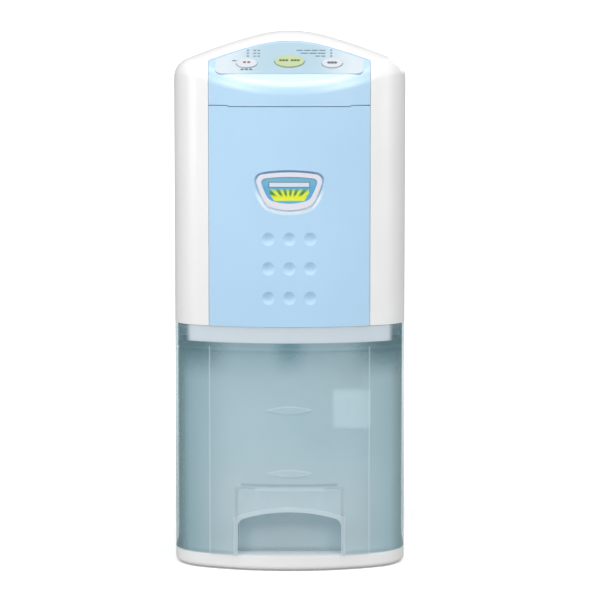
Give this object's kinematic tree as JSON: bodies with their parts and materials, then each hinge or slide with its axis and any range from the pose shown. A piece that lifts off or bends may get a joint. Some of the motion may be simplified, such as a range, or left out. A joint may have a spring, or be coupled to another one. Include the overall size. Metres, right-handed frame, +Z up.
{
  "type": "dehumidifier",
  "caption": "Upright compressor dehumidifier with an arched top, bowed blue front, sloping key panel, clear slide-out tank, fold-flat handle and rear filter.",
  "frame": {"origin": "middle of the footprint on the floor, at the level the rubber feet stand on", "axes": "+Z up, +X to the viewer's right when facing the front, -Y out of the front where the tank slides out"},
  "size_m": [0.2046, 0.2482, 0.473],
  "materials": {
    "white_plastic": "moulded, soft gloss",
    "blue_plastic": "moulded, soft gloss",
    "clear_tank": "frosted translucent",
    "clear_lid": "frosted translucent",
    "float_white": "satin",
    "key_white": "gloss",
    "key_green": "gloss",
    "lamp_lens": "clear lens",
    "control_film": "printed film, gloss",
    "badge_silver": "satin",
    "badge_blue": "printed, gloss",
    "handle_grey": "satin",
    "grille_grey": "satin",
    "filter_net": "fine net in a frame",
    "black_plastic": "matt",
    "black_rubber": "matt",
    "black_steel": "black enamel",
    "zinc_steel": "zinc plated",
    "magnet_steel": "nickel plated",
    "copper": "drawn copper",
    "fin_aluminium": "thin sheet",
    "circuit_board": "green board"
  },
  "bodies": {
    "casing": {"base": "white_plastic", "rubber_feet": "black_rubber", "front_cabinet": "white_plastic", "top_cover": "white_plastic", "rear_cabinet": "white_plastic", "handle_pan": "white_plastic", "outlet_pocket": "white_plastic", "filter_seat": "white_plastic", "case_screws": "zinc_steel", "cord_gland": "black_plastic", "bay_wall": "white_plastic", "float_switch": "black_plastic", "front_panel": "blue_plastic", "control_housing": "blue_plastic", "indicator_lamps": "lamp_lens", "control_film": "control_film", "control_board": "circuit_board", "badge_frame": "badge_silver", "badge_plate": "badge_blue", "deck": "white_plastic", "drain_pan": "white_plastic", "outlet_grille": "grille_grey", "louvre_pin": "zinc_steel", "handle_pins": "zinc_steel", "evaporator_tubes": "copper", "evaporator_fins": "fin_aluminium", "condenser_tubes": "copper", "condenser_fins": "fin_aluminium", "compressor": "black_steel", "compressor_foot": "black_steel", "compressor_grommets": "black_rubber", "compressor_bolts": "zinc_steel", "terminal_cover": "black_plastic", "accumulator": "copper", "suction_pipe": "copper", "discharge_pipe": "copper", "capillary_pipe": "copper", "return_pipe": "copper", "scroll_housing": "grille_grey", "inlet_ring": "grille_grey", "fan_motor": "zinc_steel", "motor_mount": "black_rubber", "electronics_tray": "grille_grey", "main_board": "circuit_board", "run_capacitor": "zinc_steel"},
    "tank": {"tank": "clear_tank", "tank_lid": "clear_lid", "float_bracket": "clear_tank", "float_pin": "zinc_steel"},
    "float": {"tank_float": "float_white", "float_magnet": "magnet_steel"},
    "louvre": {"louvre_flap": "white_plastic"},
    "handle": {"carry_handle": "handle_grey"},
    "power_key": {"power_key": "key_green"},
    "left_key": {"left_key": "key_white"},
    "right_key": {"right_key": "key_white"},
    "intake_cassette": {"intake_grille": "grille_grey", "dust_filter": "filter_net"},
    "fan": {"fan_wheel": "black_plastic", "fan_shaft": "zinc_steel"}
  },
  "joints": [
    {"name": "tank_slide", "type": "slide", "parent": "casing", "child": "tank", "axis": [0, -1, 0], "range_m": [0, 0.2]},
    {"name": "float_lift", "type": "hinge", "parent": "tank", "child": "float", "pos_m": [0.0555, -0.016, 0.162], "axis": [-1, 0, 0], "range_deg": [0, 22]},
    {"name": "louvre_open", "type": "hinge", "parent": "casing", "child": "louvre", "pos_m": [0, 0.0145, 0.4693], "axis": [1, 0, 0], "range_deg": [0, 80]},
    {"name": "handle_lift", "type": "hinge", "parent": "casing", "child": "handle", "pos_m": [0, 0.009, 0.4455], "axis": [1, 0, 0], "range_deg": [0, 90]},
    {"name": "power_key_press", "type": "slide", "parent": "casing", "child": "power_key", "axis": [0, 0.6691, -0.7431], "range_m": [0, 0.0012], "stiffness_N_per_m": 1200, "springref_m": -0.0005},
    {"name": "left_key_press", "type": "slide", "parent": "casing", "child": "left_key", "axis": [0, 0.6691, -0.7431], "range_m": [0, 0.0012], "stiffness_N_per_m": 1200, "springref_m": -0.0005},
    {"name": "right_key_press", "type": "slide", "parent": "casing", "child": "right_key", "axis": [0, 0.6691, -0.7431], "range_m": [0, 0.0012], "stiffness_N_per_m": 1200, "springref_m": -0.0005},
    {"name": "filter_pull", "type": "slide", "parent": "casing", "child": "intake_cassette", "axis": [0, 1, 0], "range_m": [0, 0.06]},
    {"name": "fan_spin", "type": "hinge", "parent": "casing", "child": "fan", "pos_m": [0, 0.036, 0.332], "axis": [0, 1, 0], "continuous": true}
  ]
}
